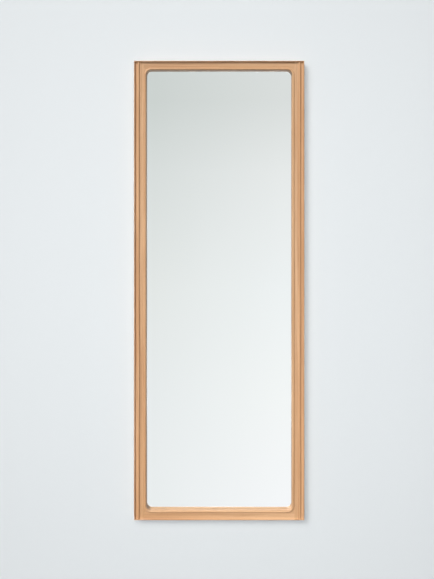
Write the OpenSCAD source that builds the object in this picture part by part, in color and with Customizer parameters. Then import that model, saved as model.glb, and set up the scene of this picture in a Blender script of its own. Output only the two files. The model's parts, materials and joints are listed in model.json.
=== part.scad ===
// Full-length framed wall mirror. Oak stiles run the whole height and carry a half-round rib;
// a thin round rim with a hollow at its foot goes round the outer edge, and a bead round the opening.
// Behind them are the mirror plate, a back board held by turn buttons, and two ring hangers.
// X is to the right, Y goes from the front to the back, Z is up. The origin is at the bottom centre.

/* [Frame] */
// Overall width of the frame
frame_w = 593; // [563:5:643]
// Overall height of the frame
frame_h = 1600; // [1500:10:1700]
// Thickness of the wood, from the front of the rim to the back
frame_t = 35; // [34:0.5:39]
// Width of each stile, from the outer edge to the opening
stile_w = 42; // [40:1:50]
// Width of each rail, from the outer edge to the opening
rail_w = 31; // [30:1:40]
// Radius of the opening's corners
corner_r = 18; // [12:1:24]

/* [Moulding] */
// Width of the round rim at the outer edge
rim_w = 2.6; // [2:0.2:3.4]
// Depth of the flat face behind the front of the rim
face_drop = 7; // [6:0.5:8]
// Radius of the hollow at the foot of the rim
cove_r = 4; // [3:0.2:4.2]
// Distance from the outer edge to the middle of the stile's rib
rib_s = 15.5; // [13:0.5:17]
// Radius of the half-round rib
rib_r = 4.3; // [3.3:0.1:4.4]
// Width of the bead round the opening
bead_w = 8.5; // [7.5:0.5:9]
// How far the bead stands proud of the face
bead_rise = 3; // [2:0.5:3.5]

/* [Mirror and back] */
// Depth of the glass behind the front of the rim
glass_drop = 24; // [23:0.5:25]
// Thickness of the mirror glass
glass_t = 4; // [3:0.5:4]
// Width of the rabbet that holds the glass
rabbet_w = 10; // [9:0.5:10.5]
// Gap between the glass or the back board and the rabbet's sides
glass_gap = 1; // [0.6:0.1:1.5]
// Thickness of the back board
board_t = 4; // [3:0.5:4]
// Thickness of the safety film on the glass
film_t = 0.3; // [0.2:0.1:0.4]
// Width of the foam tape between the glass and the back board
tape_w = 8; // [6:1:8]

/* [Hardware] */
// Thickness of the felt pads, which is also the gap to the wall
pad_t = 5; // [5:0.5:7]
// Radius of each felt pad
pad_r = 7; // [6:0.5:8]
// Length of a turn button from its screw to its tip
button_reach = 16; // [15:0.5:17]
// Width of a turn button
button_w = 11; // [10:1:12]
// Thickness of a turn button
button_t = 1.5; // [1.2:0.1:1.6]
// Height of the ring hangers' pivots above the bottom
hanger_z = 1340; // [1200:5:1370]
// Width of the hanger straps
strap_w = 16; // [14:1:17]
// Radius of the ring's wire
wire_r = 1.25; // [1.1:0.05:1.3]

/* [Hidden] */
$fn = 96;
depth = frame_t + pad_t;
y_front = -depth / 2;
y_glass = y_front + glass_drop;
y_back = y_front + frame_t;
open_x = frame_w / 2 - stile_w;
bead_r = bead_w / 2;
bead_drop = face_drop - bead_rise + bead_r;
hole_gap = 0.05;
slip = 0.1;

// loose tenons: one across each joint between a stile and a rail
tenon_len = 46;
tenon_w = 14;
tenon_t = 7;
tenon_z = rail_w - bead_w - tenon_w / 2 - 4;
tenon_y = y_front + 14;
shoulder_x = open_x + bead_w;

// screws
screw_r = 1.75;
head_r = 3.6;
head_h = 1.7;
screw_len = 14;

// turn buttons: pivots on the stiles and at the middle of the rails
button_x = open_x + rabbet_w + 9;
button_end = rail_w - rabbet_w - 9;
button_gap = 0.05;
button_heights = [for (i = [0:3]) frame_h * (0.09 + 0.82 * i / 3)];

// ring hangers
strap_x = open_x + rabbet_w + (stile_w - rabbet_w) / 2;
strap_t = 1;
strap_len = 60;
strap_holes = [28, 41, 54];
bore_r = wire_r + 0.08;
ring_lift = 0.3;
y_ring = y_back + strap_t + ring_lift + wire_r;
ring_r = 11.25;
ring_leg = 8;

// felt pads
pad_x = frame_w / 2 - pad_r - 4.5;
pad_z = pad_r + 7;

// foam tape fills what the glass, film and board leave of the rabbet
board_y = y_back - board_t;
tape_y = y_glass + glass_t + film_t;
tape_t = board_y - tape_y;
plate_x = open_x + rabbet_w - glass_gap;
plate_z0 = rail_w - rabbet_w + glass_gap;
plate_z1 = frame_h - plate_z0;

// ---- helpers ----

// An outline in X and Z, as a slab between two depths behind the front
module slab(drop0, drop1) {
  translate([0, y_front + drop1, 0]) rotate([90, 0, 0]) linear_extrude(height = drop1 - drop0) children();
}

// A profile (distance in from the edge, depth) swept up the left side
module run_up() {
  translate([-frame_w / 2, y_front, 0]) linear_extrude(height = frame_h) children();
}

// A profile (distance in from the edge, depth) swept along the bottom
module run_across(half_len) {
  translate([-half_len, y_front, 0]) rotate([90, 0, 90])
    linear_extrude(height = 2 * half_len) mirror([1, -1, 0]) children();
}

module both_sides() {
  children();
  mirror([1, 0, 0]) children();
}

module both_ends() {
  children();
  translate([0, 0, frame_h]) mirror([0, 0, 1]) children();
}

// A rectangle round the frame's centre, with round corners where r is over 0
module centred_rect(x, z, r = 0) {
  if (r > 0) {
    translate([-x + r, z]) square([2 * (x - r), frame_h - 2 * z]);
    translate([-x, z + r]) square([2 * x, frame_h - 2 * (z + r)]);
    for (sx = [-1, 1], cz = [z + r, frame_h - z - r]) translate([sx * (x - r), cz]) circle(r = r);
  } else {
    translate([-x, z]) square([2 * x, frame_h - 2 * z]);
  }
}

// ---- the frame's wood ----

module rim_profile() {
  translate([rim_w / 2, rim_w / 2]) circle(d = rim_w);
  translate([0, rim_w / 2]) square([rim_w, face_drop - rim_w / 2 + 1]);
  difference() {
    translate([rim_w - 0.5, face_drop - cove_r]) square([cove_r + 0.5, cove_r + 1]);
    translate([rim_w + cove_r, face_drop - cove_r]) circle(r = cove_r);
  }
}

module rib_profile() {
  translate([rib_s, face_drop]) circle(r = rib_r);
}

// The bead in section, with the opening's edge at 0 and the wood on the positive side
module bead_profile() {
  intersection() {
    translate([bead_r, bead_drop]) circle(r = bead_r);
    square([bead_w, bead_drop]);
  }
  translate([0, bead_drop]) square([bead_w, glass_drop - bead_drop]);
}

module bead_corner() {
  translate([open_x - corner_r, y_front, rail_w + corner_r]) rotate([90, 0, 0])
    rotate_extrude(angle = -90) mirror([0, 1, 0]) translate([corner_r, 0]) bead_profile();
}

module bead_ring() {
  both_sides() translate([-open_x, y_front, rail_w + corner_r])
    linear_extrude(height = frame_h - 2 * (rail_w + corner_r)) mirror([1, 0, 0]) bead_profile();
  both_ends() translate([0, 0, rail_w]) run_across(open_x - corner_r) mirror([1, 0, 0]) bead_profile();
  both_sides() both_ends() bead_corner();
}

module frame_wood() {
  slab(face_drop, glass_drop) difference() {
    centred_rect(frame_w / 2, 0);
    centred_rect(open_x + bead_r, rail_w - bead_r, corner_r + bead_r);
  }
  slab(glass_drop, frame_t) difference() {
    centred_rect(frame_w / 2, 0);
    centred_rect(open_x + rabbet_w, rail_w - rabbet_w);
  }
  both_sides() run_up() rim_profile();
  both_sides() run_up() rib_profile();
  both_ends() run_across(frame_w / 2) rim_profile();
  bead_ring();
}

// The stile's outline: mitred through the bead, then a straight shoulder to the end
module stile_outline() {
  polygon([
    [-frame_w / 2, 0],
    [-shoulder_x, 0],
    [-shoulder_x, rail_w - bead_w],
    [corner_r - open_x, rail_w + corner_r],
    [corner_r - open_x, frame_h - rail_w - corner_r],
    [-shoulder_x, frame_h - rail_w + bead_w],
    [-shoulder_x, frame_h],
    [-frame_w / 2, frame_h]
  ]);
}

module rail_outline() {
  polygon([
    [-shoulder_x, 0],
    [shoulder_x, 0],
    [shoulder_x, rail_w - bead_w],
    [open_x - corner_r, rail_w + corner_r],
    [corner_r - open_x, rail_w + corner_r],
    [-shoulder_x, rail_w - bead_w]
  ]);
}

// A bar with half-round edges, centred on the joint between a stile and a rail
module tenon_bar(grow) {
  t = tenon_t + 2 * grow;
  w = tenon_w + 2 * grow;
  len = tenon_len + 2 * grow;
  translate([-shoulder_x - len / 2, tenon_y, tenon_z]) rotate([90, 0, 90]) linear_extrude(height = len) {
    square([t, w - t], center = true);
    for (s = [-1, 1]) translate([0, s * (w - t) / 2]) circle(d = t);
  }
}

module screw_hole(x, z) {
  translate([x, y_back + 1, z]) rotate([90, 0, 0])
    cylinder(r = screw_r + hole_gap, h = screw_len + 1.5);
}

module stile_wood() {
  difference() {
    intersection() {
      frame_wood();
      slab(-1, frame_t + 1) stile_outline();
    }
    both_ends() tenon_bar(slip);
    for (z = button_heights) screw_hole(-button_x, z);
    for (d = strap_holes) screw_hole(-strap_x, hanger_z - d);
  }
}

module rail_wood() {
  difference() {
    intersection() {
      frame_wood();
      slab(-1, frame_t + 1) rail_outline();
    }
    both_sides() tenon_bar(slip);
    screw_hole(0, button_end);
  }
}

module left_stile() {
  color("burlywood") stile_wood();
}

module right_stile() {
  color("burlywood") mirror([1, 0, 0]) stile_wood();
}

module bottom_rail() {
  color("tan") rail_wood();
}

module top_rail() {
  color("tan") translate([0, 0, frame_h]) mirror([0, 0, 1]) rail_wood();
}

module tenon(left, top) {
  color("peru") translate([0, 0, top ? frame_h : 0]) mirror([0, 0, top ? 1 : 0])
    mirror([left ? 0 : 1, 0, 0]) tenon_bar(0);
}

// ---- the mirror plate and what backs it ----

module plate(y, t, inset) {
  translate([-plate_x + inset, y, plate_z0 + inset])
    cube([2 * (plate_x - inset), t, plate_z1 - plate_z0 - 2 * inset]);
}

module mirror_glass() {
  color("lightsteelblue") plate(y_glass, glass_t, 0);
}

module safety_film() {
  color("gainsboro") plate(y_glass + glass_t, film_t, 1);
}

module back_board() {
  color("sienna") plate(board_y, board_t, 0);
}

module setting_blocks() {
  color("dimgray") for (s = [-1, 1])
    translate([s * plate_x / 2 - 20, y_glass, plate_z0 - glass_gap]) cube([40, glass_t, glass_gap]);
}

module side_tape() {
  color("dimgray") translate([-plate_x + 1, tape_y, plate_z0 + 1])
    cube([tape_w, tape_t, plate_z1 - plate_z0 - 2]);
}

module end_tape() {
  color("dimgray") translate([-plate_x + tape_w + 2, tape_y, plate_z0 + 1])
    cube([2 * (plate_x - tape_w - 2), tape_t, tape_w]);
}

module left_foam_tape() {
  side_tape();
}

module right_foam_tape() {
  mirror([1, 0, 0]) side_tape();
}

module bottom_foam_tape() {
  end_tape();
}

module top_foam_tape() {
  translate([0, 0, frame_h]) mirror([0, 0, 1]) end_tape();
}

// ---- turn buttons ----

// A button with its pivot at the origin and its tip along +X
module turn_button() {
  tip = button_reach - button_w / 2;
  color("silver") rotate([-90, 0, 0]) difference() {
    linear_extrude(height = button_t) {
      circle(d = button_w);
      translate([0, -button_w / 2]) square([tip, button_w]);
      translate([tip, 0]) circle(d = button_w);
    }
    translate([0, 0, -1]) cylinder(r = screw_r + slip, h = button_t + 2);
  }
}

module left_button(i) {
  translate([-button_x, y_back + button_gap, button_heights[i]]) turn_button();
}

module right_button(i) {
  mirror([1, 0, 0]) left_button(i);
}

module bottom_turn_button() {
  translate([0, y_back + button_gap, button_end]) rotate([0, -90, 0]) turn_button();
}

module top_turn_button() {
  translate([0, 0, frame_h]) mirror([0, 0, 1]) bottom_turn_button();
}

// A pan-head screw driven in at the origin, with its head resting lift above it
module screw(lift) {
  rotate([90, 0, 0]) {
    translate([0, 0, -lift]) cylinder(r = screw_r, h = screw_len + lift);
    translate([0, 0, -lift - head_h]) difference() {
      cylinder(r1 = head_r - 0.6, r2 = head_r, h = head_h);
      for (a = [0, 90]) rotate([0, 0, a]) translate([-0.4, -1.8, -1]) cube([0.8, 3.6, 2]);
    }
  }
}

module turn_button_screws() {
  lift = button_t + 2 * button_gap;
  color("lightgray") {
    both_sides() for (z = button_heights) translate([-button_x, y_back, z]) screw(lift);
    both_ends() translate([0, y_back, button_end]) screw(lift);
  }
}

// ---- ring hangers ----

// The strap is screwed to the left stile; its top is rolled round the ring's straight side
module strap() {
  color("silver") difference() {
    union() {
      translate([-strap_x, y_back + strap_t, hanger_z]) rotate([90, 0, 0])
        linear_extrude(height = strap_t) {
          translate([-strap_w / 2, strap_w / 2 - strap_len]) square([strap_w, strap_len - strap_w / 2]);
          translate([0, strap_w / 2 - strap_len]) circle(d = strap_w);
        }
      translate([-strap_x - strap_w / 2, y_ring, hanger_z]) rotate([0, 90, 0])
        cylinder(r = bore_r + strap_t, h = strap_w);
    }
    translate([-strap_x - strap_w / 2 - 1, y_ring, hanger_z]) rotate([0, 90, 0])
      cylinder(r = bore_r, h = strap_w + 2);
    for (d = strap_holes) translate([-strap_x, y_back + strap_t + 1, hanger_z - d]) rotate([90, 0, 0])
      cylinder(r = screw_r + slip, h = strap_t + 2);
  }
}

// A D-shaped wire ring that hangs from its straight side
module ring() {
  color("silver") translate([-strap_x, y_ring, hanger_z]) {
    translate([-ring_r, 0, 0]) rotate([0, 90, 0]) cylinder(r = wire_r, h = 2 * ring_r);
    for (s = [-1, 1]) {
      translate([s * ring_r, 0, 0]) sphere(r = wire_r);
      translate([s * ring_r, 0, -ring_leg]) cylinder(r = wire_r, h = ring_leg);
    }
    translate([0, 0, -ring_leg]) rotate([90, 0, 0])
      rotate_extrude(angle = -180) translate([ring_r, 0]) circle(r = wire_r);
  }
}

module left_hanger_strap() {
  strap();
}

module right_hanger_strap() {
  mirror([1, 0, 0]) strap();
}

module left_hanger_ring() {
  ring();
}

module right_hanger_ring() {
  mirror([1, 0, 0]) ring();
}

module hanger_screws() {
  color("lightgray") both_sides() for (d = strap_holes)
    translate([-strap_x, y_back, hanger_z - d]) screw(strap_t + button_gap);
}

module wall_pads() {
  color("dimgray") both_sides() both_ends()
    translate([-pad_x, y_back + pad_t, pad_z]) rotate([90, 0, 0]) cylinder(r = pad_r, h = pad_t);
}

left_stile();
right_stile();
top_rail();
bottom_rail();
tenon(true, true);  // top_left_tenon
tenon(false, true);  // top_right_tenon
tenon(true, false);  // bottom_left_tenon
tenon(false, false);  // bottom_right_tenon
mirror_glass();
safety_film();
setting_blocks();
left_foam_tape();
right_foam_tape();
top_foam_tape();
bottom_foam_tape();
back_board();
left_button(0);  // left_turn_button_1
left_button(1);  // left_turn_button_2
left_button(2);  // left_turn_button_3
left_button(3);  // left_turn_button_4
right_button(0);  // right_turn_button_1
right_button(1);  // right_turn_button_2
right_button(2);  // right_turn_button_3
right_button(3);  // right_turn_button_4
top_turn_button();
bottom_turn_button();
turn_button_screws();
left_hanger_strap();
right_hanger_strap();
left_hanger_ring();
right_hanger_ring();
hanger_screws();
wall_pads();
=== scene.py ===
"""Full-length wall mirror in a pale oak frame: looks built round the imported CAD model."""

import json
import math

import bmesh
import bpy
from mathutils import Matrix, Vector


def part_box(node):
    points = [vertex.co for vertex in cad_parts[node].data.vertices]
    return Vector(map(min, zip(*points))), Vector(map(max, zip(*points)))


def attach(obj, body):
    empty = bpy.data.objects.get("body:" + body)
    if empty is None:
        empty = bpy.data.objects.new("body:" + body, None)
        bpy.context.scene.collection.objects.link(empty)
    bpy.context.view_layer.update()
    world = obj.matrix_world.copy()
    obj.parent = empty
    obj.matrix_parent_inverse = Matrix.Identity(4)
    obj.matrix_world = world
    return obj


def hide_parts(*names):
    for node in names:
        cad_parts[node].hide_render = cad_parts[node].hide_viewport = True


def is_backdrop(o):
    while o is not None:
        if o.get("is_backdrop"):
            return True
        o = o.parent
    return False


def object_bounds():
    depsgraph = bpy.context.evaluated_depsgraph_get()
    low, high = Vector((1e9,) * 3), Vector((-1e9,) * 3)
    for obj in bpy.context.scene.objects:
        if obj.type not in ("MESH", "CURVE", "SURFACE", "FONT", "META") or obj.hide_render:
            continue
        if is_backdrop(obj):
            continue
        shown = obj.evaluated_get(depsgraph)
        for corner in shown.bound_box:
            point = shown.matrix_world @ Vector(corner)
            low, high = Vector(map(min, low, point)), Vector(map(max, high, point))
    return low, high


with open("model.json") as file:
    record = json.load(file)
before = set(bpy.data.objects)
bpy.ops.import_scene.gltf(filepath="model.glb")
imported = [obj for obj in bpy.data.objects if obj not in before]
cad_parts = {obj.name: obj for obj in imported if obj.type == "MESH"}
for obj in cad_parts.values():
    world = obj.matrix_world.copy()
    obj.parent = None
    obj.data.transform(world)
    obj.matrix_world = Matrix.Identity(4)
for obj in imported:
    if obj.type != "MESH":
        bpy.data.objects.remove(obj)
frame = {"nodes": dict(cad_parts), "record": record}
cad_low, cad_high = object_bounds()

MM = 0.001

# ---- sizes: the overall ones come from the frame ----

stile_low, stile_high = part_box("left_stile")
glass_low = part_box("mirror_glass")[0]
HALF_W = -stile_low.x
HEIGHT = stile_high.z
Y_FRONT = stile_low.y
Y_BACK = stile_high.y
DEPTH = Y_BACK - Y_FRONT
GLASS_DROP = glass_low.y - Y_FRONT

# the moulding, as in the CAD source
STILE_W = 42 * MM
RAIL_W = 31 * MM
CORNER_R = 18 * MM
BEAD_W = 8.5 * MM
BEAD_RISE = 3 * MM
RIM_W = 2.6 * MM
FACE_DROP = 7 * MM
COVE_R = 4 * MM
RIB_S = 15.5 * MM
RIB_R = 4.3 * MM
RABBET_W = 10 * MM
OPEN_X = HALF_W - STILE_W
BEAD_R = BEAD_W / 2
BEAD_DROP = FACE_DROP - BEAD_RISE + BEAD_R

# how far the wood dips at a joint between two members, and how much is taken off its back edge
SEAM = 0.15 * MM
BACK_EASE = 0.8 * MM
MITRE = math.radians(45)

# the hardware: buttons, hanger straps with their rolled ends, rings and pads
BUTTON_W = 11 * MM
BUTTON_REACH = 16 * MM
BUTTON_T = 1.5 * MM
BUTTON_HOLE_R = 1.9 * MM
HANGER_Z = 1340 * MM
STRAP_T = 1.0 * MM
STRAP_HOLES = (28 * MM, 41 * MM, 54 * MM)
STRAP_HOLE_R = 1.95 * MM
ROLL_R = 1.83 * MM
ROLL_SWING = math.radians(322)
ROLL_LENGTH = ROLL_SWING * (ROLL_R + 0.03 * MM)
WIRE_R = 1.25 * MM
RING_LEG = 8 * MM
PAD_R = 7 * MM

# the undersides of the screws' heads, above the back of the wood
BUTTON_HEAD_LIFT = 1.6 * MM
STRAP_HEAD_LIFT = 1.05 * MM

# meshes: points closer than this are one, and faces that meet at less than this are smooth
MERGE = 0.001 * MM
SMOOTH_DEG = 32


# ---- mesh helpers ----


def clean(bm, merge=MERGE):
    """Joins points that coincide and turns the faces outward."""
    bmesh.ops.remove_doubles(bm, verts=bm.verts, dist=merge)
    bmesh.ops.dissolve_degenerate(bm, edges=bm.edges, dist=merge)
    bmesh.ops.recalc_face_normals(bm, faces=bm.faces)


def shade(mesh, smooth_deg=SMOOTH_DEG):
    """Smooth shading, with sharp edges where faces meet at more than smooth_deg."""
    mesh.polygons.foreach_set("use_smooth", [True] * len(mesh.polygons))
    mesh.set_sharp_from_angle(angle=math.radians(smooth_deg))


def add_object(name, mesh, material, smooth_deg=SMOOTH_DEG):
    """Shades a mesh, gives it its material and puts it into the scene."""
    shade(mesh, smooth_deg)
    mesh.materials.clear()
    mesh.materials.append(material)
    obj = bpy.data.objects.new(name, mesh)
    bpy.context.scene.collection.objects.link(obj)
    return obj


def mesh_object(name, verts, faces, material, smooth_deg=SMOOTH_DEG):
    """An object from points and faces, cleaned and shaded."""
    mesh = bpy.data.meshes.new(name)
    bm = bmesh.new()
    made = [bm.verts.new(v) for v in verts]
    for f in faces:
        bm.faces.new([made[i] for i in f])
    clean(bm)
    bm.to_mesh(mesh)
    bm.free()
    return add_object(name, mesh, material, smooth_deg)


def arc(cx, cy, radius, start_deg, end_deg, steps):
    """Points on an arc, end points included."""
    angles = [math.radians(start_deg + (end_deg - start_deg) * i / steps) for i in range(steps + 1)]
    return [(cx + radius * math.cos(a), cy + radius * math.sin(a)) for a in angles]


def circle(x, y, r, steps=40):
    """Points round a circle, each one once."""
    return arc(x, y, r, 0, 360, steps)[:-1]


def bridge(faces, one, two):
    """Adds the faces between two closed rings of point numbers."""
    for i in range(len(one)):
        j = (i + 1) % len(one)
        faces.append([one[i], one[j], two[j], two[i]])


def cut(bm, place, normal):
    """Adds edges where a plane crosses the mesh, so that it can bend there."""
    geom = list(bm.verts) + list(bm.edges) + list(bm.faces)
    bmesh.ops.bisect_plane(bm, geom=geom, plane_co=place, plane_no=normal, dist=1e-7)


# ---- node helpers ----


class Nodes:
    """Short calls for a material's node tree."""

    def __init__(self, name):
        self.material = bpy.data.materials.new(name)
        self.material.use_nodes = True
        self.tree = self.material.node_tree
        self.tree.nodes.clear()
        self.shader = self.add("ShaderNodeBsdfPrincipled")
        self.out = self.add("ShaderNodeOutputMaterial")
        self.link(self.shader.outputs[0], self.out.inputs["Surface"])

    def add(self, kind, **settings):
        node = self.tree.nodes.new(kind)
        for key, value in settings.items():
            setattr(node, key, value)
        return node

    def link(self, a, b):
        self.tree.links.new(a, b)

    def feed(self, socket, value):
        """Links another node's output into a socket, or sets the socket's own value."""
        if isinstance(value, bpy.types.NodeSocket):
            self.link(value, socket)
        else:
            socket.default_value = value

    def feed_colour(self, socket, value):
        self.feed(socket, value if isinstance(value, bpy.types.NodeSocket) else (*value, 1))

    def coords(self, scale=(1, 1, 1), offset=(0, 0, 0), turn=(0, 0, 0)):
        """Object coordinates, turned and moved first and scaled after."""
        where = self.add("ShaderNodeTexCoord")
        first = self.add("ShaderNodeMapping")
        self.link(where.outputs["Object"], first.inputs["Vector"])
        first.inputs["Rotation"].default_value = turn
        first.inputs["Location"].default_value = offset
        second = self.add("ShaderNodeMapping")
        self.link(first.outputs[0], second.inputs["Vector"])
        second.inputs["Scale"].default_value = scale
        return second.outputs[0]

    def noise(self, vector, detail=3.0, rough=0.5, distortion=0.0):
        n = self.add("ShaderNodeTexNoise")
        self.link(vector, n.inputs["Vector"])
        n.inputs["Scale"].default_value = 1.0
        n.inputs["Detail"].default_value = detail
        n.inputs["Roughness"].default_value = rough
        n.inputs["Distortion"].default_value = distortion
        return n.outputs["Fac"]

    def math(self, operation, a, b=0.0, c=0.0):
        n = self.add("ShaderNodeMath", operation=operation)
        for socket, value in zip(n.inputs, (a, b, c)):
            self.feed(socket, value)
        return n.outputs[0]

    def remap(self, value, low, high, to_low=0.0, to_high=1.0, smooth=False):
        n = self.add("ShaderNodeMapRange", interpolation_type="SMOOTHSTEP" if smooth else "LINEAR")
        for socket, v in zip(n.inputs, (value, low, high, to_low, to_high)):
            self.feed(socket, v)
        return n.outputs[0]

    def mix(self, share, a, b, blend="MIX"):
        n = self.add("ShaderNodeMix", data_type="RGBA", blend_type=blend)
        self.feed(n.inputs[0], share)
        self.feed_colour(n.inputs[6], a)
        self.feed_colour(n.inputs[7], b)
        return n.outputs[2]

    def tint(self, base, mask, strength, colour):
        """The base with a colour laid over it where the mask is high."""
        return self.mix(self.math("MULTIPLY", mask, strength), base, colour)

    def ramp(self, value, stops):
        n = self.add("ShaderNodeValToRGB")
        self.feed(n.inputs[0], value)
        ramp = n.color_ramp
        while len(ramp.elements) < len(stops):
            ramp.elements.new(0.5)
        for element, (place, colour) in zip(ramp.elements, stops):
            element.position = place
            element.color = (*colour, 1)
        return n.outputs[0]

    def bump(self, height, strength, distance):
        n = self.add("ShaderNodeBump")
        n.inputs["Strength"].default_value = strength
        n.inputs["Distance"].default_value = distance
        self.link(height, n.inputs["Height"])
        return n.outputs[0]

    def surface(self, colour, roughness, normal=None, **plain):
        """Fills the shader's sockets and returns the material."""
        s = self.shader.inputs
        self.feed_colour(s["Base Color"], colour)
        self.feed(s["Roughness"], roughness)
        if normal is not None:
            self.feed(s["Normal"], normal)
        for key, value in plain.items():
            s[key.replace("_", " ")].default_value = value
        return self.material

    def output_either(self, share, a, b):
        """Ends the tree in a mix of two shaders: the first at share 0, the second at share 1."""
        either = self.add("ShaderNodeMixShader")
        self.link(share, either.inputs[0])
        self.link(a, either.inputs[1])
        self.link(b, either.inputs[2])
        self.link(either.outputs[0], self.out.inputs["Surface"])
        return self.material


def srgb(r, g, b):
    """A colour given as 0 to 255 screen values, as linear light."""
    return tuple(c / 255 / 12.92 if c <= 10 else ((c / 255 + 0.055) / 1.055) ** 2.4 for c in (r, g, b))


# ---- materials ----


def oak(name, along_x, seed, tone=1.0):
    """Pale straight-grained oak. The grain runs along X or along Z; seed picks another part of the log."""
    pale = srgb(225, 183, 141)
    honey = srgb(207, 160, 116)
    streak_brown = srgb(178, 129, 88)
    late_brown = srgb(178, 130, 90)
    fleck_cream = srgb(232, 195, 158)
    pore_brown = srgb(128, 88, 58)
    rings_per_metre = 420.0
    n = Nodes(name)
    turn = (0, math.pi / 2, 0) if along_x else (0, 0, 0)
    offset = (0.31 * seed, 0.17 * seed, 1.9 * seed)

    def along_grain(scale, **kind):
        return n.noise(n.coords(scale, offset, turn), **kind)

    # clouds and streaks drawn out along the grain, and how the growth rings wander
    plain = n.coords(offset=offset, turn=turn)
    broad = along_grain((28, 28, 1.4), rough=0.55, distortion=0.3)
    streak = along_grain((150, 110, 2.6), rough=0.6, distortion=0.25)
    wander = along_grain((9, 9, 2.2), detail=2.0)
    # growth rings: early wood at the start of each ring, dense late wood at its end
    split = n.add("ShaderNodeSeparateXYZ")
    n.link(plain, split.inputs[0])
    across = n.math("MULTIPLY_ADD", split.outputs[1], 0.55, split.outputs[0])
    rings_at = n.math("MULTIPLY_ADD", wander, 0.02, across)
    rings = n.math("FRACT", n.math("MULTIPLY", rings_at, rings_per_metre))
    late = n.math("POWER", rings, 2.2)
    # open pores, mostly in the early wood, and pale flecks
    pores = along_grain((2100, 1500, 42), detail=2.0)
    open_pores = n.remap(pores, 0.60, 0.70, smooth=True)
    early = n.remap(rings, 0.0, 0.42, 1.0, 0.0, smooth=True)
    pore = n.math("MULTIPLY", open_pores, n.math("MULTIPLY_ADD", early, 0.8, 0.2))
    fleck = n.remap(along_grain((260, 260, 22), detail=1.0), 0.66, 0.74)
    # the colours laid over each other, then the relief and the gloss
    base = n.mix(n.remap(broad, 0.32, 0.70, smooth=True), pale, honey)
    base = n.tint(base, n.remap(streak, 0.44, 0.66, smooth=True), 0.55, streak_brown)
    base = n.tint(base, late, 0.26, late_brown)
    base = n.tint(base, fleck, 0.18, fleck_cream)
    base = n.tint(base, pore, 0.55, pore_brown)
    base = n.mix(1.0, base, (tone, tone, tone), "MULTIPLY")
    relief = n.math("SUBTRACT", n.math("MULTIPLY", late, 0.25), pore)
    normal = n.bump(relief, 0.35, 0.12 * MM)
    rough = n.math("MULTIPLY_ADD", pore, 0.2, n.remap(streak, 0.3, 0.7, 0.38, 0.46))
    return n.surface(base, rough, normal, Specular_IOR_Level=0.5)


def mirror_metal():
    """Silvered plate glass: a clean reflection with the faintest cloud in its tint."""
    n = Nodes("mirror_silver")
    cloud = n.noise(n.coords((3.0, 3.0, 1.6)), detail=4.0, rough=0.6, distortion=0.4)
    tint = n.mix(n.remap(cloud, 0.3, 0.7, smooth=True), (0.932, 0.946, 0.942), (0.926, 0.941, 0.936))
    return n.surface(tint, 0.0, Metallic=1.0)


def hardboard():
    """Pressed hardboard: brown fibres, with the screen pattern of its rough side."""
    radians_per_metre = 3000.0
    n = Nodes("hardboard_brown")
    fibre = n.noise(n.coords((420, 420, 420)), detail=4.0, rough=0.65, distortion=0.8)
    cloud = n.noise(n.coords((14, 14, 14)), rough=0.55)
    place = n.add("ShaderNodeSeparateXYZ")
    n.link(n.coords(), place.inputs[0])
    weave_x = n.math("SINE", n.math("MULTIPLY", place.outputs[0], radians_per_metre))
    weave_z = n.math("SINE", n.math("MULTIPLY", place.outputs[2], radians_per_metre))
    screen = n.math("MAXIMUM", weave_x, weave_z)
    base = n.mix(n.remap(fibre, 0.3, 0.7), srgb(112, 76, 50), srgb(146, 104, 72))
    base = n.tint(base, n.remap(cloud, 0.35, 0.7), 0.35, srgb(98, 64, 42))
    base = n.mix(n.remap(screen, 0.2, 1.0, 0.0, 0.25), base, srgb(88, 58, 38))
    relief = n.math("MULTIPLY_ADD", fibre, 0.5, n.math("MULTIPLY", screen, -0.5))
    return n.surface(base, n.remap(fibre, 0.3, 0.7, 0.72, 0.9), n.bump(relief, 0.5, 0.2 * MM))


def zinc(name, colour, rough_low, rough_high):
    """Bright zinc plating with fine scratches and a faint spangle."""
    n = Nodes(name)
    scratch = n.noise(n.coords((900, 900, 60)), rough=0.6, distortion=0.2)
    cloud = n.noise(n.coords((160, 160, 160)))
    tint = n.mix(n.remap(cloud, 0.35, 0.68), colour, tuple(c * 0.82 for c in colour))
    rough = n.math("MULTIPLY_ADD", scratch, 0.12, n.remap(cloud, 0.3, 0.7, rough_low, rough_high))
    return n.surface(tint, rough, n.bump(scratch, 0.12, 0.05 * MM), Metallic=1.0)


def felt():
    """Grey pressed wool felt."""
    n = Nodes("felt_grey")
    fuzz = n.noise(n.coords((900, 900, 900)), detail=5.0, rough=0.7, distortion=1.2)
    cloud = n.noise(n.coords((220, 220, 220)), detail=2.0)
    base = n.mix(n.remap(fuzz, 0.3, 0.7), srgb(92, 90, 88), srgb(140, 138, 134))
    base = n.tint(base, n.remap(cloud, 0.4, 0.7), 0.4, srgb(110, 104, 98))
    return n.surface(base, 0.95, n.bump(fuzz, 0.8, 0.3 * MM), Sheen_Weight=0.4)


def foam():
    """Charcoal closed-cell foam tape."""
    cells_per_metre = 2400
    n = Nodes("foam_charcoal")
    cell = n.add("ShaderNodeTexVoronoi")
    n.link(n.coords(), cell.inputs["Vector"])
    cell.inputs["Scale"].default_value = cells_per_metre
    base = n.mix(n.remap(cell.outputs["Distance"], 0.0, 0.7), srgb(44, 44, 46), srgb(72, 72, 75))
    return n.surface(base, 0.88, n.bump(cell.outputs["Distance"], 0.5, 0.2 * MM))


def film():
    """Milky safety film with a fine orange-peel surface."""
    n = Nodes("film_grey")
    peel = n.noise(n.coords((260, 260, 260)), detail=2.0)
    base = n.mix(n.remap(peel, 0.3, 0.7), srgb(196, 199, 200), srgb(212, 214, 214))
    return n.surface(base, n.remap(peel, 0.3, 0.7, 0.34, 0.46), n.bump(peel, 0.2, 0.1 * MM))


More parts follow.
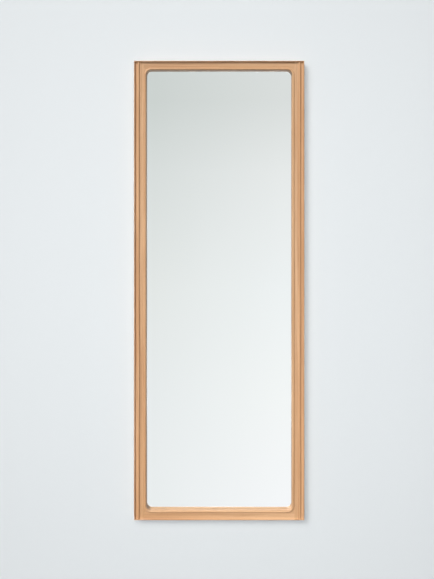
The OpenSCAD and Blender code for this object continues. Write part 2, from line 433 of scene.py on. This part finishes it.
def rubber():
    """Black setting rubber with a faint bloom."""
    n = Nodes("rubber_black")
    bloom = n.noise(n.coords((300, 300, 300)), detail=4.0, rough=0.6)
    base = n.mix(n.remap(bloom, 0.4, 0.75), srgb(30, 30, 31), srgb(58, 58, 58))
    return n.surface(base, n.remap(bloom, 0.3, 0.7, 0.6, 0.8), n.bump(bloom, 0.25, 0.1 * MM))


# ---- the frame's members ----


def moulding_columns(foot, ribbed):
    """The face in section from the outer edge to the bead's foot: (distance in, depth behind the front)."""
    flat_margin = 1.5 * MM
    foot_margin = 1.2 * MM
    nose_r = RIM_W / 2
    points = arc(nose_r, nose_r, nose_r, 180, 360, 10)
    points += arc(RIM_W + COVE_R, FACE_DROP - COVE_R, COVE_R, 180, 90, 10)
    if ribbed:
        points.append((RIM_W + COVE_R + flat_margin, FACE_DROP))
        points += arc(RIB_S, FACE_DROP, RIB_R, 180, 360, 18)
        points.append((RIB_S + RIB_R + flat_margin, FACE_DROP))
    points += [(foot - foot_margin, FACE_DROP), (foot - 2 * SEAM, FACE_DROP), (foot, FACE_DROP)]
    return points


def bead_points():
    """The bead and the wall below it: (distance from the corner's centre, depth)."""
    ease = 0.2 * MM
    start = math.degrees(math.asin((BEAD_DROP - FACE_DROP) / BEAD_R))
    points = arc(CORNER_R + BEAD_R, BEAD_DROP, BEAD_R, -start, -180, 16)
    return points + [(CORNER_R, GLASS_DROP - 2 * ease), (CORNER_R + ease, GLASS_DROP)]


def member_rows(centre):
    """Cross-sections along a member: (place along it, turn round the corner's centre in radians).
    They come closer together near the mitres, so that each joint's dip stays narrow."""
    turns = [math.radians(t) for t in (0, 4, 9, 14, 19, 24, 29, 34, 39, 43, 44.3)] + [MITRE]
    straight = [centre * i / 8 for i in range(-7, 8)]
    start = [(-centre, -t) for t in reversed(turns)]
    return start + [(a, 0.0) for a in straight] + [(centre, t) for t in turns]


def member(name, width, half_open, half, ribbed, place, material):
    """One stile or rail. a runs along it from its middle, s in from the outer edge, t back from the front.
    half_open is half the opening's length beside it; half is its own half length, or None for a rail."""
    end_margin = 3 * MM
    foot = width - BEAD_W
    reach = CORNER_R + BEAD_W
    centre = half_open - CORNER_R
    columns = moulding_columns(foot, ribbed)
    bead = bead_points()
    path = []
    verts = []
    faces = []

    def vert(a, s, t):
        verts.append(place(a, s, t))
        return len(verts) - 1

    def back_of(a):
        return [vert(a, foot, DEPTH), vert(a, BACK_EASE, DEPTH), vert(a, 0, DEPTH - BACK_EASE)]

    for base, turn in member_rows(centre):
        at_mitre = abs(turn) == MITRE
        sin_turn, cos_turn = math.sin(turn), math.cos(turn)
        a_out = base + reach * math.tan(turn)
        dip = SEAM if at_mitre and half is None else 0.0
        front = [vert(a_out, s, t + dip) for s, t in columns]
        dip = SEAM if at_mitre else 0.0
        inner = [
            vert(base + rho * sin_turn, width + CORNER_R - rho * cos_turn, min(t + dip, GLASS_DROP))
            for rho, t in bead
        ]
        out = (CORNER_R + RABBET_W) / cos_turn
        ledge = [vert(base + out * sin_turn, width - RABBET_W, t) for t in (GLASS_DROP, DEPTH)]
        path.append((front, inner + ledge, back_of(a_out)))
    for (front_1, inner_1, back_1), (front_2, inner_2, back_2) in zip(path, path[1:]):
        bridge(faces, front_1 + inner_1 + back_1, front_2 + inner_2 + back_2)
    for end, sign in ((0, -1), (-1, 1)):
        front, inner, back = path[end]
        faces.append([front[-1], *inner, back[0]])
        ring = front + back
        if half is not None:
            start = half - (centre + reach)
            rim = [(e, t) for e, t in moulding_columns(start, False) if e < start - end_margin]
            for e, drop in reversed(rim):
                a = sign * (half - e)
                row = [vert(a, s, min(t, drop)) for s, t in columns[:-1]]
                row.append(vert(a, foot, min(FACE_DROP, drop) + SEAM))
                new = row + back_of(a)
                bridge(faces, ring, new)
                ring = new
        faces.append(ring)
    return mesh_object(name, verts, faces, material)


def build_frame():
    """The two stiles and the two rails. Each takes its grain from its own part of the log."""
    half_h = HEIGHT / 2
    placers = {
        "left_stile": lambda a, s, t: (s - HALF_W, Y_FRONT + t, half_h + a),
        "right_stile": lambda a, s, t: (HALF_W - s, Y_FRONT + t, half_h + a),
        "top_rail": lambda a, s, t: (a, Y_FRONT + t, HEIGHT - s),
        "bottom_rail": lambda a, s, t: (a, Y_FRONT + t, s),
    }
    for i, (node, place) in enumerate(placers.items()):
        rail = node.endswith("rail")
        material = oak("oak_" + node, rail, i + 1)
        if rail:
            piece = member(node + "_wood", RAIL_W, OPEN_X, None, False, place, material)
        else:
            piece = member(node + "_wood", STILE_W, half_h - RAIL_W, half_h, True, place, material)
        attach(piece, "root")
        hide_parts(node)


# ---- hardware ----


def outline_plate(name, outlines, thick, bevel, material):
    """A flat plate from closed outlines (the first is the outside, the rest are holes), with rolled edges.
    It lies in X and Y and runs from 0 up to its thickness."""
    curve = bpy.data.curves.new(name, "CURVE")
    curve.dimensions = "2D"
    curve.fill_mode = "BOTH"
    curve.extrude = thick / 2 - bevel
    curve.bevel_depth = bevel
    curve.bevel_resolution = 2
    curve.offset = -bevel
    for points in outlines:
        line = curve.splines.new("POLY")
        line.points.add(len(points) - 1)
        for point, (x, y) in zip(line.points, points):
            point.co = (x, y, 0, 1)
        line.use_cyclic_u = True
    shape = bpy.data.objects.new(name + "_outline", curve)
    bpy.context.scene.collection.objects.link(shape)
    graph = bpy.context.evaluated_depsgraph_get()
    mesh = bpy.data.meshes.new_from_object(shape.evaluated_get(graph))
    bpy.data.objects.remove(shape)
    bpy.data.curves.remove(curve)
    bm = bmesh.new()
    bm.from_mesh(mesh)
    bmesh.ops.translate(bm, verts=bm.verts, vec=(0, 0, thick / 2))
    clean(bm, 2 * MERGE)
    bm.to_mesh(mesh)
    bm.free()
    mesh.name = name
    return add_object(name, mesh, material)


def press_dish(mesh):
    """Presses a shallow oval dish into the top of a turn button's arm."""
    middle = 8.4 * MM
    half_length = 3.4 * MM
    half_width = 1.75 * MM
    deepest = 0.42 * MM
    bm = bmesh.new()
    bm.from_mesh(mesh)
    for i in range(-8, 9):
        cut(bm, (middle + i * 0.5 * MM, 0, 0), (1, 0, 0))
        cut(bm, (0, i * 0.35 * MM, 0), (0, 1, 0))
    for v in bm.verts:
        x = (v.co.x - middle) / half_length
        y = v.co.y / half_width
        away = min(1.0, x * x * abs(x) + y * y)
        if away < 1.0 and v.co.z > BUTTON_T * 0.9:
            v.co.z -= deepest * (1 - away) ** 1.5
    bm.to_mesh(mesh)
    bm.free()
    shade(mesh)


def turn_button(node, steel):
    """A stamped button with rolled edges and a dished arm, laid where the CAD button is.
    Returns the point that it turns on."""
    low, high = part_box(node)
    end_r = BUTTON_W / 2
    tip = BUTTON_REACH - end_r
    outside = arc(0, 0, end_r, 90, 270, 24) + arc(tip, 0, end_r, -90, 90, 24)
    hole = circle(0, 0, BUTTON_HOLE_R)
    obj = outline_plate(node + "_plate", [outside, hole], BUTTON_T, 0.3 * MM, steel)
    press_dish(obj.data)
    middle = (low + high) / 2
    if high.x - low.x > high.z - low.z:
        left = middle.x < 0
        pivot = Vector((low.x + end_r if left else high.x - end_r, low.y, middle.z))
        along = Vector((1 if left else -1, 0, 0))
    else:
        bottom = middle.z < HEIGHT / 2
        pivot = Vector((middle.x, low.y, low.z + end_r if bottom else high.z - end_r))
        along = Vector((0, 0, 1 if bottom else -1))
    out = Vector((0, 1, 0))
    side = out.cross(along)
    turn = Matrix((along, side, out)).transposed().to_4x4()
    obj.data.transform(Matrix.Translation(pivot) @ turn)
    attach(obj, node)
    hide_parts(node)
    return pivot


def roll_strap(mesh):
    """Turns a flat strap upright and rolls the part above Y 0 round the ring's straight side."""
    start_r = 2.05 * MM
    ease_over = math.radians(80)
    bends = 48
    bm = bmesh.new()
    bm.from_mesh(mesh)
    for i in range(bends + 1):
        cut(bm, (0, ROLL_LENGTH * i / bends, 0), (0, 1, 0))
    for v in bm.verts:
        x, along, out = v.co
        if along <= 0:
            v.co = (x, out, along)
            continue
        turned = along / ROLL_LENGTH * ROLL_SWING
        ease = min(1.0, turned / ease_over)
        mid = start_r + (ROLL_R - start_r) * ease * ease * (3 - 2 * ease)
        radius = mid - (out - STRAP_T / 2)
        v.co = (x, start_r + STRAP_T / 2 - radius * math.cos(turned), radius * math.sin(turned))
    bmesh.ops.recalc_face_normals(bm, faces=bm.faces)
    bm.to_mesh(mesh)
    bm.free()
    shade(mesh)


def strap(node, steel):
    """A strap with three screw holes, its top rolled round the ring's straight side."""
    low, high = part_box(node)
    half = (high.x - low.x) / 2
    drop = HANGER_Z - low.z
    outside = [(-half, ROLL_LENGTH), *arc(0, half - drop, half, 180, 360, 40), (half, ROLL_LENGTH)]
    holes = [circle(0, -d, STRAP_HOLE_R) for d in STRAP_HOLES]
    obj = outline_plate(node + "_plate", [outside] + holes, STRAP_T, 0.2 * MM, steel)
    roll_strap(obj.data)
    obj.data.transform(Matrix.Translation(((low.x + high.x) / 2, Y_BACK, HANGER_Z)))
    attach(obj, "root")
    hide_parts(node)


def tube(name, path, radius, material):
    """A wire swept round a closed path that lies in X and Z."""
    steps = 20
    verts, faces = [], []
    rings = []
    for i, (x, z) in enumerate(path):
        x0, z0 = path[i - 1]
        x1, z1 = path[(i + 1) % len(path)]
        along = Vector((x1 - x0, 0, z1 - z0)).normalized()
        side = Vector((along.z, 0, -along.x))
        rings.append(range(i * steps, (i + 1) * steps))
        for c, s in circle(0, 0, radius, steps):
            verts.append(Vector((x, 0, z)) + side * c + Vector((0, s, 0)))
    for one, two in zip(rings, rings[1:] + rings[:1]):
        bridge(faces, one, two)
    return mesh_object(name, verts, faces, material)


def d_ring(node, steel):
    """A D-shaped wire ring: a straight side, a small bend at each end of it, and a half circle."""
    low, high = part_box(node)
    half = (high.x - low.x) / 2 - WIRE_R
    bend = 1.9 * MM
    path = [(x * half, 0.0) for x in (-0.7, -0.4, -0.1, 0.1, 0.4, 0.7)]
    path += arc(half - bend, -bend, bend, 90, 0, 8)
    path += [(half, -RING_LEG * 0.6)]
    path += arc(0, -RING_LEG, half, 0, -180, 56)
    path += [(-half, -RING_LEG * 0.6)]
    path += arc(-half + bend, -bend, bend, 180, 90, 8)
    obj = tube(node + "_wire", path, WIRE_R, steel)
    middle = (low + high) / 2
    obj.data.transform(Matrix.Translation((middle.x, middle.y, high.z - WIRE_R)))
    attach(obj, node)
    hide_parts(node)


def cross_recess(px, py):
    """How far the cross recess is cut below a screw head's top at this point."""
    arm = 1.75 * MM
    half_width = 0.42 * MM
    deepest = 1.0 * MM
    depth = 0.0
    for u, v in ((px, py), (py, px)):
        along = abs(u)
        across = abs(v)
        if along < arm and across < half_width:
            side = min(1.0, (half_width - across) / (0.12 * MM))
            ramp = min(1.0, (arm - along) / (0.7 * MM))
            depth = max(depth, deepest * side * ramp)
    return depth


def pan_screw(verts, faces, x, z, lift, spin):
    """Adds a pan-head screw with a cross recess and a threaded shank. Its head is towards +Y."""
    head_r = 3.6 * MM
    head_h = 1.7 * MM
    flat_r = 1.9 * MM
    flat_rings = 22
    thread_r = 1.7 * MM
    core_r = 1.25 * MM
    thread_turns = 8
    thread_rows = 64
    point_from = 0.8
    steps = 48
    under = Y_BACK + lift
    top = under + head_h
    tip = Y_BACK - 14 * MM
    cos_spin, sin_spin = math.cos(spin), math.sin(spin)
    rim = circle(0, 0, 1.0, steps)

    def point(px, py, y):
        verts.append((x + px * cos_spin - py * sin_spin, y, z + px * sin_spin + py * cos_spin))
        return len(verts) - 1

    middle = point(0, 0, top - cross_recess(0, 0))
    rings = []
    for k in range(1, flat_rings + 1):
        r = flat_r * k / flat_rings
        level = top - (0.02 * MM if k == flat_rings else 0.0)
        rings.append([point(r * c, r * s, level - cross_recess(r * c, r * s)) for c, s in rim])
    shoulder = [(2.5 * MM, top - 0.09 * MM), (3.0 * MM, top - 0.26 * MM), (3.35 * MM, top - 0.52 * MM)]
    shoulder += [(3.55 * MM, top - 0.9 * MM), (head_r, under + 0.35 * MM)]
    shoulder += [(head_r - 0.1 * MM, under + 0.05 * MM), (head_r - 0.25 * MM, under), (thread_r, under)]
    for r, y in shoulder:
        rings.append([point(r * c, r * s, y) for c, s in rim])
    for k in range(1, thread_rows + 1):
        share = k / thread_rows
        y = under + (tip - under) * share
        taper = 1.0
        if share >= point_from:
            taper = max(0.02, 1 - ((share - point_from) / (1 - point_from)) ** 1.5)
        row = []
        for i, (c, s) in enumerate(rim):
            phase = (thread_turns * share - i / steps) % 1.0
            crest = max(0.0, 1 - abs(phase - 0.5) * 4)
            r = (core_r + (thread_r - core_r) * crest) * taper
            row.append(point(r * c, r * s, y))
        rings.append(row)
    for i in range(steps):
        faces.append([middle, rings[0][i], rings[0][(i + 1) % steps]])
    for one, two in zip(rings, rings[1:]):
        bridge(faces, one, two)
    faces.append(rings[-1])


def screw_set(node, places, steel):
    """All the screws of one CAD node, as one mesh. Each head is turned to its own angle."""
    verts, faces = [], []
    for i, (x, z, lift) in enumerate(places):
        pan_screw(verts, faces, x, z, lift, 0.7 * i + 0.2)
    obj = mesh_object(node + "_set", verts, faces, steel, smooth_deg=40)
    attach(obj, "root")
    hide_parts(node)


def felt_disc(verts, faces, x, z, back, n):
    """Adds a felt disc with a soft, slightly uneven edge. n gives each disc its own unevenness."""
    steps = 72
    profile = [(0.0, 0.0), (0.55, 0.0), (0.97, 0.0), (1.0, 0.06), (1.0, 0.3), (0.995, 0.6), (1.0, 0.86)]
    profile += [(0.97, 0.965), (0.9, 1.0), (0.55, 0.99), (0.0, 0.985)]
    rings = []
    for share, depth in profile:
        edge = share > 0.9
        face = 0.1 < share < 0.95 and depth > 0.9
        ring = []
        for i in range(steps):
            a = 2 * math.pi * i / steps
            wobble = 0.008 * math.sin(7 * a + n) + 0.006 * math.sin(17 * a + 2 * n + 9 * depth)
            out = PAD_R * share * (0.985 + wobble if edge else 1)
            dip = 0.05 * MM * math.sin(3 * a + n) if face else 0.0
            y = Y_BACK + (back - Y_BACK) * depth - abs(dip)
            ring.append(len(verts))
            verts.append((x + out * math.cos(a), y, z + out * math.sin(a)))
        rings.append(ring)
    for one, two in zip(rings, rings[1:]):
        bridge(faces, one, two)


def felt_pads(material):
    """The four felt discs behind the frame's corners."""
    low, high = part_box("wall_pads")
    verts, faces = [], []
    corners = [(x, z) for x in (low.x + PAD_R, high.x - PAD_R) for z in (low.z + PAD_R, high.z - PAD_R)]
    for n, (x, z) in enumerate(corners, 1):
        felt_disc(verts, faces, x, z, high.y, n)
    obj = mesh_object("wall_pads_felt", verts, faces, material, smooth_deg=60)
    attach(obj, "root")
    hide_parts("wall_pads")


def back_board(material):
    """The hardboard sheet with its edges and corners slightly rounded."""
    ease = 0.35 * MM
    low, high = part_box("back_board")
    bm = bmesh.new()
    bmesh.ops.create_cube(bm, size=1.0)
    for v in bm.verts:
        v.co = Vector([(low[i] + high[i]) / 2 + v.co[i] * (high[i] - low[i]) for i in range(3)])
    edges = list(bm.edges)
    bmesh.ops.bevel(bm, geom=edges, offset=ease, segments=3, profile=0.5, affect="EDGES")
    bmesh.ops.recalc_face_normals(bm, faces=bm.faces)
    mesh = bpy.data.meshes.new("back_board_sheet")
    bm.to_mesh(mesh)
    bm.free()
    obj = add_object("back_board_sheet", mesh, material, smooth_deg=40)
    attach(obj, "root")
    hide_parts("back_board")


def build_hardware():
    """Turn buttons, hangers, their screws, the felt pads and the back board."""
    steel = zinc("zinc_plate", (0.82, 0.83, 0.84), 0.26, 0.38)
    screw_steel = zinc("screw_plate", (0.76, 0.77, 0.78), 0.28, 0.42)
    pivots = []
    hanger_screws = []
    for side in ("left", "right"):
        pivots += [turn_button(f"{side}_turn_button_{i}", steel) for i in range(1, 5)]
        strap(f"{side}_hanger_strap", steel)
        d_ring(f"{side}_hanger_ring", steel)
        low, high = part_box(f"{side}_hanger_strap")
        middle = (low.x + high.x) / 2
        hanger_screws += [(middle, HANGER_Z - d, STRAP_HEAD_LIFT) for d in STRAP_HOLES]
    pivots += [turn_button(node, steel) for node in ("top_turn_button", "bottom_turn_button")]
    screw_set("turn_button_screws", [(p.x, p.z, BUTTON_HEAD_LIFT) for p in pivots], screw_steel)
    screw_set("hanger_screws", hanger_screws, screw_steel)
    felt_pads(felt())
    back_board(hardboard())


# ---- stage ----

# the camera: how far it is from the wood, how far above the mirror's middle, and the height it sees there
CAMERA_DISTANCE = 2.6
CAMERA_RISE = 0.287
CAMERA_SEES = 2.0160

WALL_GAP = 0.2 * MM
WALL_REACH = 6.0
WALL_TOP = 5.0
FLOOR_Z = -0.32
FLOOR_REACH = 30.0
CARD_Y = -3.4

WARM_KEY = (1.0, 0.985, 0.965)
COOL_FILL = (0.97, 0.99, 1.0)
WARM_FILL = (1.0, 0.965, 0.92)
WARM_SIDE = (1.0, 0.98, 0.96)
WHITE = (1.0, 1.0, 1.0)


def plane(name, corners, material):
    """A one-faced stage piece."""
    obj = mesh_object(name, corners, [[0, 1, 2, 3]], material)
    obj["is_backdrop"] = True
    return obj


def upright(half_w, y, bottom, top):
    """The corners of an upright rectangle that faces the front."""
    return [(-half_w, y, bottom), (half_w, y, bottom), (half_w, y, top), (-half_w, y, top)]


def wall_material():
    """Matt wall paint that shows only its front, so the mirror's back can be seen past it."""
    n = Nodes("wall_paint")
    roller = n.noise(n.coords((240, 240, 240)), rough=0.6)
    n.surface(srgb(152, 155, 157), 0.9, n.bump(roller, 0.04, 0.3 * MM), Specular_IOR_Level=0.05)
    clear = n.add("ShaderNodeBsdfTransparent")
    which = n.add("ShaderNodeNewGeometry")
    return n.output_either(which.outputs["Backfacing"], n.shader.outputs[0], clear.outputs[0])


def floor_material():
    """A pale floor that gives off light of its own, about as bright as the backdrop."""
    n = Nodes("floor_pale")
    cloud = n.noise(n.coords((3, 3, 3)))
    base = n.mix(cloud, srgb(212, 213, 213), srgb(220, 221, 221))
    n.feed(n.shader.inputs["Emission Color"], base)
    return n.surface(base, 0.7, Emission_Strength=0.72, Specular_IOR_Level=0.2)


def card_material():
    """The soft room light that the mirror shows: dim at the upper left, bright at the lower right.
    It is seen in reflections only, and gives no light to matt surfaces."""
    top_z, bottom_z = 1.95, -1.30
    left_x, right_x = -0.52, 0.51
    mirror_reflects = 0.935
    places = (0.0, 0.18, 0.47, 0.74, 1.0)
    left_colours = (
        srgb(205, 210, 208),
        srgb(217, 221, 220),
        srgb(228, 231, 230),
        srgb(232, 235, 236),
        srgb(234, 237, 238),
    )
    right_colours = (
        srgb(218, 221, 220),
        srgb(231, 233, 233),
        srgb(238, 241, 242),
        srgb(243, 245, 245),
        srgb(245, 246, 248),
    )
    n = Nodes("room_glow")
    split = n.add("ShaderNodeSeparateXYZ")
    n.link(n.coords(), split.inputs[0])
    down = n.remap(split.outputs[2], top_z, bottom_z)
    right = n.remap(split.outputs[0], left_x, right_x)
    left_side = n.ramp(down, list(zip(places, left_colours)))
    right_side = n.ramp(down, list(zip(places, right_colours)))
    light = n.add("ShaderNodeEmission")
    n.link(n.mix(right, left_side, right_side), light.inputs["Color"])
    light.inputs["Strength"].default_value = 1.0 / mirror_reflects
    past = n.add("ShaderNodeBsdfTransparent")
    path = n.add("ShaderNodeLightPath")
    after_matt = n.math("GREATER_THAN", path.outputs["Diffuse Depth"], 0.5)
    return n.output_either(after_matt, light.outputs[0], past.outputs[0])


def area_light(name, lit, place, target, size, power, colour):
    """A square light that the camera doesn't see and that lights only the objects in lit.
    Returns the light's data."""
    data = bpy.data.lights.new(name, "AREA")
    data.shape = "SQUARE"
    data.size = size
    data.energy = power
    data.color = colour
    obj = bpy.data.objects.new(name, data)
    obj.location = place
    obj.rotation_euler = (Vector(target) - Vector(place)).to_track_quat("-Z", "Y").to_euler()
    obj.visible_camera = False
    bpy.context.scene.collection.objects.link(obj)
    group = bpy.data.collections.new(name + "_lights")
    for o in lit:
        group.objects.link(o)
    obj.light_linking.receiver_collection = group
    return data


def build_wall():
    """The wall just behind the felt pads. It takes the mirror's shadow and sends no soft light back to it."""
    y = cad_high.y + WALL_GAP
    bottom = FLOOR_Z - 20 * MM
    wall = plane("stage_wall", upright(WALL_REACH, y, bottom, WALL_TOP), wall_material())
    wall.visible_diffuse = False
    wall.visible_shadow = False
    return wall


def build_floor():
    """The floor, a little above the wall's lower edge and so large that it ends close to the horizon."""
    corners = [(x * FLOOR_REACH, y * FLOOR_REACH, FLOOR_Z) for x, y in ((-1, -1), (1, -1), (1, 1), (-1, 1))]
    floor = plane("stage_floor", corners, floor_material())
    floor.visible_glossy = False
    floor.visible_diffuse = False


def build_card():
    """The card of room light behind the camera. Only reflections show it."""
    half_w = 9.0
    bottom = -8.0
    top = 9.0
    card = plane("stage_glow", upright(half_w, CARD_Y, bottom, top), card_material())
    for what in ("camera", "diffuse", "shadow", "transmission", "volume_scatter"):
        setattr(card, "visible_" + what, False)


def light_wall(wall):
    """A high key from the left, a fill at mid height and another near the floor."""
    lit = [wall]
    key_x, key_z = -6.5, 10.1
    fill_x, fill_z = 0.15, 1.09
    foot_x, foot_z = 0.1, -0.2
    area_light("wall_key", lit, (key_x, -14.0, key_z), (key_x, 0, key_z), 9.8, 6900, WARM_KEY)
    area_light("wall_fill", lit, (fill_x, -3.2, fill_z), (fill_x, 0, fill_z), 0.4, 84, COOL_FILL)
    foot = area_light("wall_foot", lit, (foot_x, -3.0, foot_z), (foot_x, 0, foot_z), 0.4, 48, COOL_FILL)
    foot.use_shadow = False


def light_pieces():
    """The key, fills, side and back light of the mirror itself. Two of them leave the glass out."""
    middle = (0, 0, HEIGHT / 2)
    pieces = [o for o in bpy.context.scene.objects if o.type == "MESH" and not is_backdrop(o)]
    matt = [o for o in pieces if o is not frame["nodes"]["mirror_glass"]]
    area_light("wood_key", pieces, (-17.5, -28.5, 29.8), middle, 13.0, 19900, WARM_KEY)
    fill = area_light("wood_fill", pieces, (0.3, -6.0, 1.09), (0, 0, 1.0), 1.3, 48, WARM_FILL)
    fill.cycles.use_multiple_importance_sampling = False
    area_light("wood_foot", matt, (0.0, -1.6, 0.1), (0, 0, 0.1), 0.5, 4.0, WARM_FILL)
    area_light("wood_side", matt, (4.2, 0.35, 0.9), (HALF_W, 0, 0.8), 1.2, 60, WARM_SIDE)
    area_light("back", pieces, (-2.6, 4.2, 3.0), middle, 2.4, 190, WHITE)


def build_world():
    """A pale backdrop, and a soft light on matt surfaces, stronger from behind than from the front."""
    front_strength = 0.09
    behind_strength = 0.6
    blend = 0.05
    world = bpy.data.worlds.new("studio")
    world.use_nodes = True
    nodes = world.node_tree.nodes
    links = world.node_tree.links
    nodes.clear()
    out = nodes.new("ShaderNodeOutputWorld")
    seen = nodes.new("ShaderNodeBackground")
    lit = nodes.new("ShaderNodeBackground")
    pick = nodes.new("ShaderNodeMixShader")
    path = nodes.new("ShaderNodeLightPath")
    seen.inputs[0].default_value = (*srgb(226, 229, 231), 1)
    seen.inputs[1].default_value = 1.0
    lit.inputs[0].default_value = (*srgb(232, 236, 240), 1)
    where = nodes.new("ShaderNodeTexCoord")
    split = nodes.new("ShaderNodeSeparateXYZ")
    links.new(where.outputs["Generated"], split.inputs[0])
    behind = nodes.new("ShaderNodeMapRange")
    for socket, value in zip(list(behind.inputs)[1:5], (-blend, blend, front_strength, behind_strength)):
        socket.default_value = value
    links.new(split.outputs[1], behind.inputs[0])
    links.new(behind.outputs[0], lit.inputs[1])
    deep = nodes.new("ShaderNodeMath")
    deep.operation = "GREATER_THAN"
    deep.inputs[1].default_value = 0.5
    links.new(path.outputs["Diffuse Depth"], deep.inputs[0])
    links.new(deep.outputs[0], pick.inputs[0])
    links.new(seen.outputs[0], pick.inputs[1])
    links.new(lit.outputs[0], pick.inputs[2])
    links.new(pick.outputs[0], out.inputs[0])
    bpy.context.scene.world = world


def build_camera():
    """Square to the wall at eye height, framed on the mirror by a lens shift."""
    data = bpy.data.cameras.new("camera")
    data.sensor_width = 36
    data.lens = data.sensor_width * CAMERA_DISTANCE / CAMERA_SEES
    data.shift_x = -0.00377
    data.shift_y = -0.1406
    cam = bpy.data.objects.new("camera", data)
    cam.location = (0.0, Y_FRONT - CAMERA_DISTANCE, HEIGHT / 2 + CAMERA_RISE)
    cam.rotation_euler = (math.pi / 2, 0, 0)
    bpy.context.scene.collection.objects.link(cam)
    bpy.context.scene.camera = cam


def dress_cad():
    """Materials for the CAD nodes that keep their shape."""
    by_slot = {
        "beech": oak("beech_tenon", True, 9, 1.05),
        "mirror": mirror_metal(),
        "safety_film": film(),
        "setting_rubber": rubber(),
        "foam": foam(),
    }
    for part in frame["record"]["subparts"]:
        material = by_slot.get(part["material_slot"])
        if material is not None:
            mesh = frame["nodes"][part["node"]].data
            mesh.materials.clear()
            mesh.materials.append(material)


build_frame()
build_hardware()
dress_cad()
wall = build_wall()
build_floor()
build_card()
light_wall(wall)
light_pieces()
build_world()
build_camera()
bpy.context.scene.view_settings.view_transform = "Standard"
